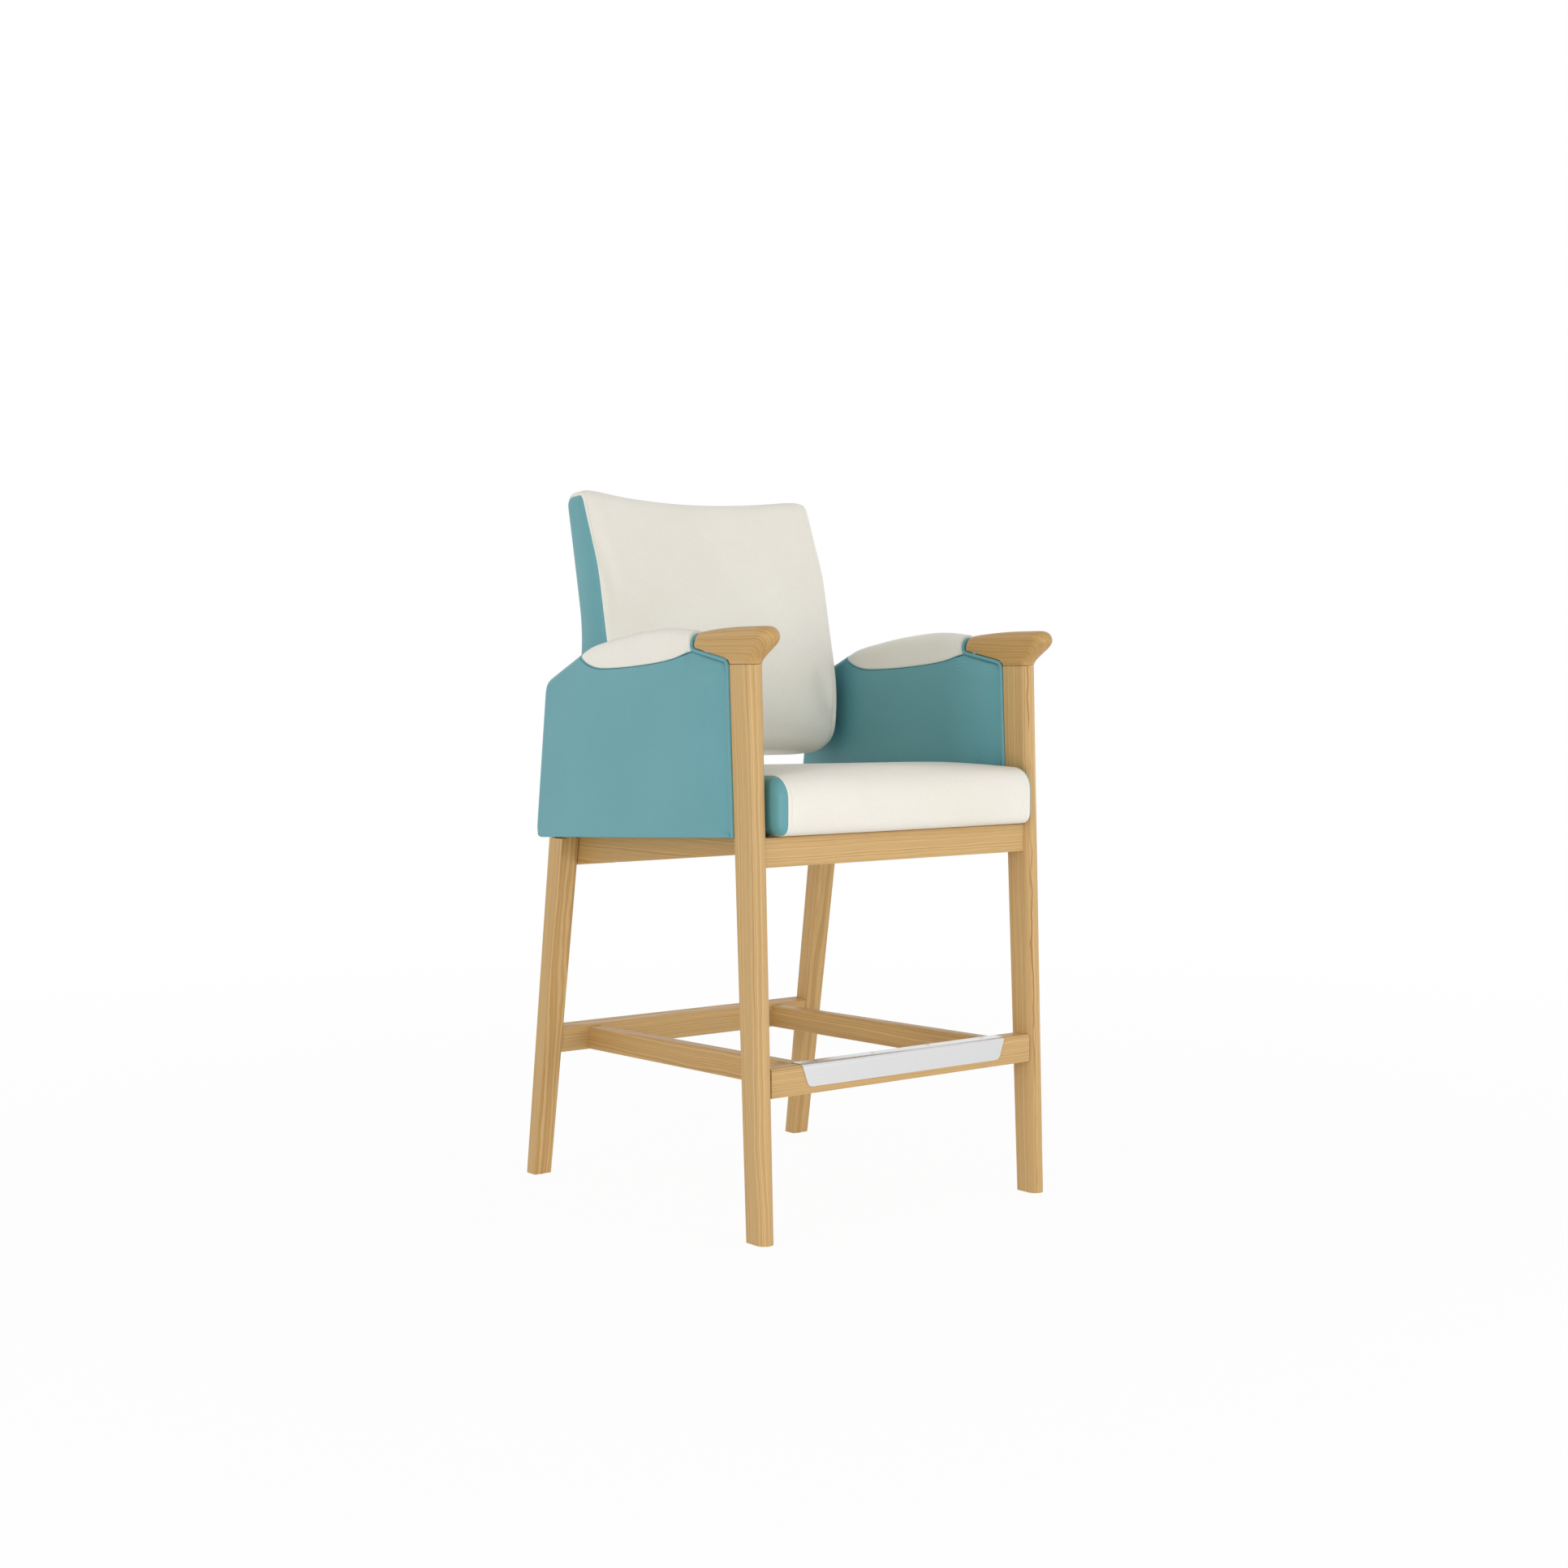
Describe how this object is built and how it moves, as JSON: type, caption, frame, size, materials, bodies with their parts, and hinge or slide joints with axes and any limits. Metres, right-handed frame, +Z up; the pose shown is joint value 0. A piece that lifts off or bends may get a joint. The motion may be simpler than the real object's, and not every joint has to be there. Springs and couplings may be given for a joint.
{
  "type": "waiting room chair",
  "caption": "Bar-height waiting room armchair with an ash frame, upholstered arm panels, seat and back, carved wooden hand grips and a steel-faced footrest bar.",
  "frame": {"origin": "on the floor, under the middle of the chair's bounding box", "axes": "+Z up, the chair faces -Y, +X to the right of someone looking at its front"},
  "size_m": [0.654, 0.7196, 1.2561],
  "materials": {
    "ash_wood": "satin clear coat",
    "dowel_wood": "raw",
    "block_wood": "raw",
    "plywood": "raw",
    "foam": "open-cell foam",
    "vinyl_white": "satin grained vinyl",
    "vinyl_teal": "satin grained vinyl",
    "stainless": "satin",
    "steel": "zinc plated",
    "nylon": "matte"
  },
  "bodies": {
    "root": {"arm_board_dowels": "dowel_wood", "arm_board_left": "plywood", "arm_board_right": "plywood", "arm_cap_left": "ash_wood", "arm_cap_right": "ash_wood", "arm_pad_left": "vinyl_white", "arm_pad_right": "vinyl_white", "arm_panel_left": "vinyl_teal", "arm_panel_right": "vinyl_teal", "arm_welt_left": "vinyl_teal", "arm_welt_right": "vinyl_teal", "back_board": "plywood", "back_bolts": "steel", "back_cover": "vinyl_white", "back_foam": "foam", "back_side_block_left": "block_wood", "back_side_block_right": "block_wood", "back_side_cover_left": "vinyl_teal", "back_side_cover_right": "vinyl_teal", "back_spacers": "steel", "cap_dowels": "dowel_wood", "corner_block_front_left": "block_wood", "corner_block_front_right": "block_wood", "corner_block_rear_left": "block_wood", "corner_block_rear_right": "block_wood", "corner_block_screws": "steel", "footrest_plate": "stainless", "footrest_plate_screws": "steel", "front_leg_left": "ash_wood", "front_leg_right": "ash_wood", "front_seat_rail": "ash_wood", "front_stretcher": "ash_wood", "glides": "nylon", "rail_dowels": "dowel_wood", "rear_leg_left": "ash_wood", "rear_leg_right": "ash_wood", "rear_seat_rail": "ash_wood", "rear_stretcher": "ash_wood", "seat_board": "plywood", "seat_cover": "vinyl_white", "seat_foam": "foam", "seat_screws": "steel", "seat_side_cover_left": "vinyl_teal", "seat_side_cover_right": "vinyl_teal", "side_seat_rail_left": "ash_wood", "side_seat_rail_right": "ash_wood", "side_stretcher_left": "ash_wood", "side_stretcher_right": "ash_wood", "stretcher_dowels": "dowel_wood"}
  },
  "joints": []
}
